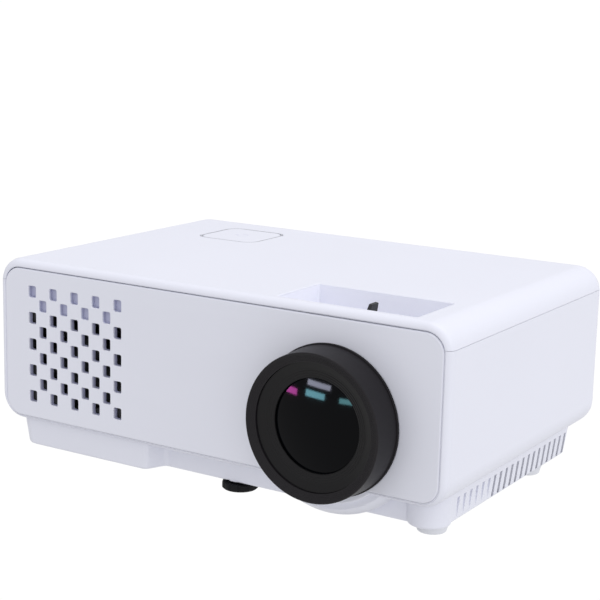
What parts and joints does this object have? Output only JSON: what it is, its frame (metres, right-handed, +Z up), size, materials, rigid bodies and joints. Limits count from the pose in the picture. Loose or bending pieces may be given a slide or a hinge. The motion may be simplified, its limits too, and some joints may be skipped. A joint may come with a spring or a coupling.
{
  "type": "portable projector",
  "caption": "Compact white tabletop projector: large black focus ring, finger recess with keystone lever, top key, screw foot, chequered front vent and rear sockets.",
  "frame": {"origin": "on the ground under the middle of the outline, focus ring included", "axes": "+Z up; -Y is the way the lens points; +X is to the right for someone who looks at the front"},
  "size_m": [0.2, 0.1504, 0.081],
  "materials": {
    "shell_white": "fine satin moulded plastic",
    "panel_white": "fine satin moulded plastic",
    "trim_grey": "satin",
    "foot_grey": "matte rubber",
    "lens_black": "satin black",
    "lever_black": "matte black",
    "pad_black": "matte rubber",
    "inner_black": "matte black",
    "infrared_dark": "gloss dark red",
    "lens_glass": "coated glass",
    "clear_plastic": "clear",
    "lcd_dark": "gloss",
    "mirror_face": "first-surface mirror",
    "board_green": "solder mask",
    "aluminium": "bare",
    "port_steel": "plated",
    "brass": "turned brass"
  },
  "bodies": {
    "case": {"top_cover": "shell_white", "bottom_case": "shell_white", "front_panel": "panel_white", "rear_panel": "panel_white", "key_trim_ring": "trim_grey", "foot_front_left": "foot_grey", "foot_front_right": "foot_grey", "foot_rear_left": "foot_grey", "foot_rear_right": "foot_grey", "lens_sleeve": "inner_black", "optics_housing": "inner_black", "optics_lid": "inner_black", "intake_fan_frame": "inner_black", "exhaust_fan_frame": "inner_black", "audio_jack": "inner_black", "mains_inlet": "inner_black", "speaker": "inner_black", "infrared_window": "infrared_dark", "condenser_lens": "clear_plastic", "fresnel_rear": "clear_plastic", "fresnel_front": "clear_plastic", "fold_mirror": "mirror_face", "key_switch_board": "board_green", "main_board": "board_green", "power_board": "board_green", "led_board": "aluminium", "led_heatsink": "aluminium", "hdmi_port": "port_steel", "vga_port": "port_steel", "usb_port": "port_steel", "card_slot": "port_steel", "case_screw_front_left": "port_steel", "case_screw_front_right": "port_steel", "case_screw_rear_left": "port_steel", "case_screw_rear_right": "port_steel", "foot_nut": "brass", "tripod_nut": "brass"},
    "key": {"power_key": "shell_white"},
    "focus": {"focus_ring": "lens_black"},
    "barrel": {"lens_barrel": "inner_black", "retaining_ring": "lens_black", "front_glass": "lens_glass", "middle_glass": "lens_glass", "rear_glass": "lens_glass", "lens_spacer": "inner_black", "rear_retainer": "inner_black"},
    "lever": {"keystone_lever": "lever_black"},
    "gate": {"lcd_gate": "inner_black", "lcd_panel": "lcd_dark"},
    "pad": {"foot_pad": "pad_black"},
    "knob": {"foot_knob": "lever_black"},
    "intake_rotor": {"intake_fan_rotor": "inner_black"},
    "exhaust_rotor": {"exhaust_fan_rotor": "inner_black"}
  },
  "joints": [
    {"name": "key_press", "type": "slide", "parent": "case", "child": "key", "axis": [0, 0, -1], "range_m": [0, 0.0006], "stiffness_N_per_m": 1000, "springref_m": -0.0003},
    {"name": "focus_turn", "type": "hinge", "parent": "case", "child": "focus", "pos_m": [0.054, -0.062, 0.0407], "axis": [0, 1, 0], "range_deg": [-60, 60]},
    {"name": "barrel_slide", "type": "slide", "parent": "case", "child": "barrel", "axis": [0, 1, 0], "range_m": [-0.00205, 0.00205]},
    {"name": "keystone_swing", "type": "hinge", "parent": "case", "child": "lever", "pos_m": [0.054, -0.062, 0.0407], "axis": [0, 1, 0], "range_deg": [-16, 6]},
    {"name": "gate_tilt", "type": "hinge", "parent": "case", "child": "gate", "pos_m": [-0.005, 0.017, 0.0407], "axis": [0, 1, 0], "range_deg": [-5, 13]},
    {"name": "foot_slide", "type": "slide", "parent": "case", "child": "pad", "axis": [0, 0, -1], "range_m": [0, 0.01]},
    {"name": "knob_turn", "type": "hinge", "parent": "pad", "child": "knob", "pos_m": [0.0043, -0.0435, 0.003], "axis": [0, 0, 1], "range_deg": [0, 1818]},
    {"name": "intake_spin", "type": "hinge", "parent": "case", "child": "intake_rotor", "pos_m": [-0.062, -0.05, 0.0475], "axis": [0, 1, 0], "continuous": true},
    {"name": "exhaust_spin", "type": "hinge", "parent": "case", "child": "exhaust_rotor", "pos_m": [-0.062, 0.065, 0.0465], "axis": [0, 1, 0], "continuous": true}
  ],
  "couplings": [
    {"joint": "barrel_slide", "follows": "focus_turn", "m_per_rad": 0.0019},
    {"joint": "gate_tilt", "follows": "keystone_swing", "ratio": -0.76},
    {"joint": "knob_turn", "follows": "foot_slide", "rad_per_m": 3141.6}
  ]
}
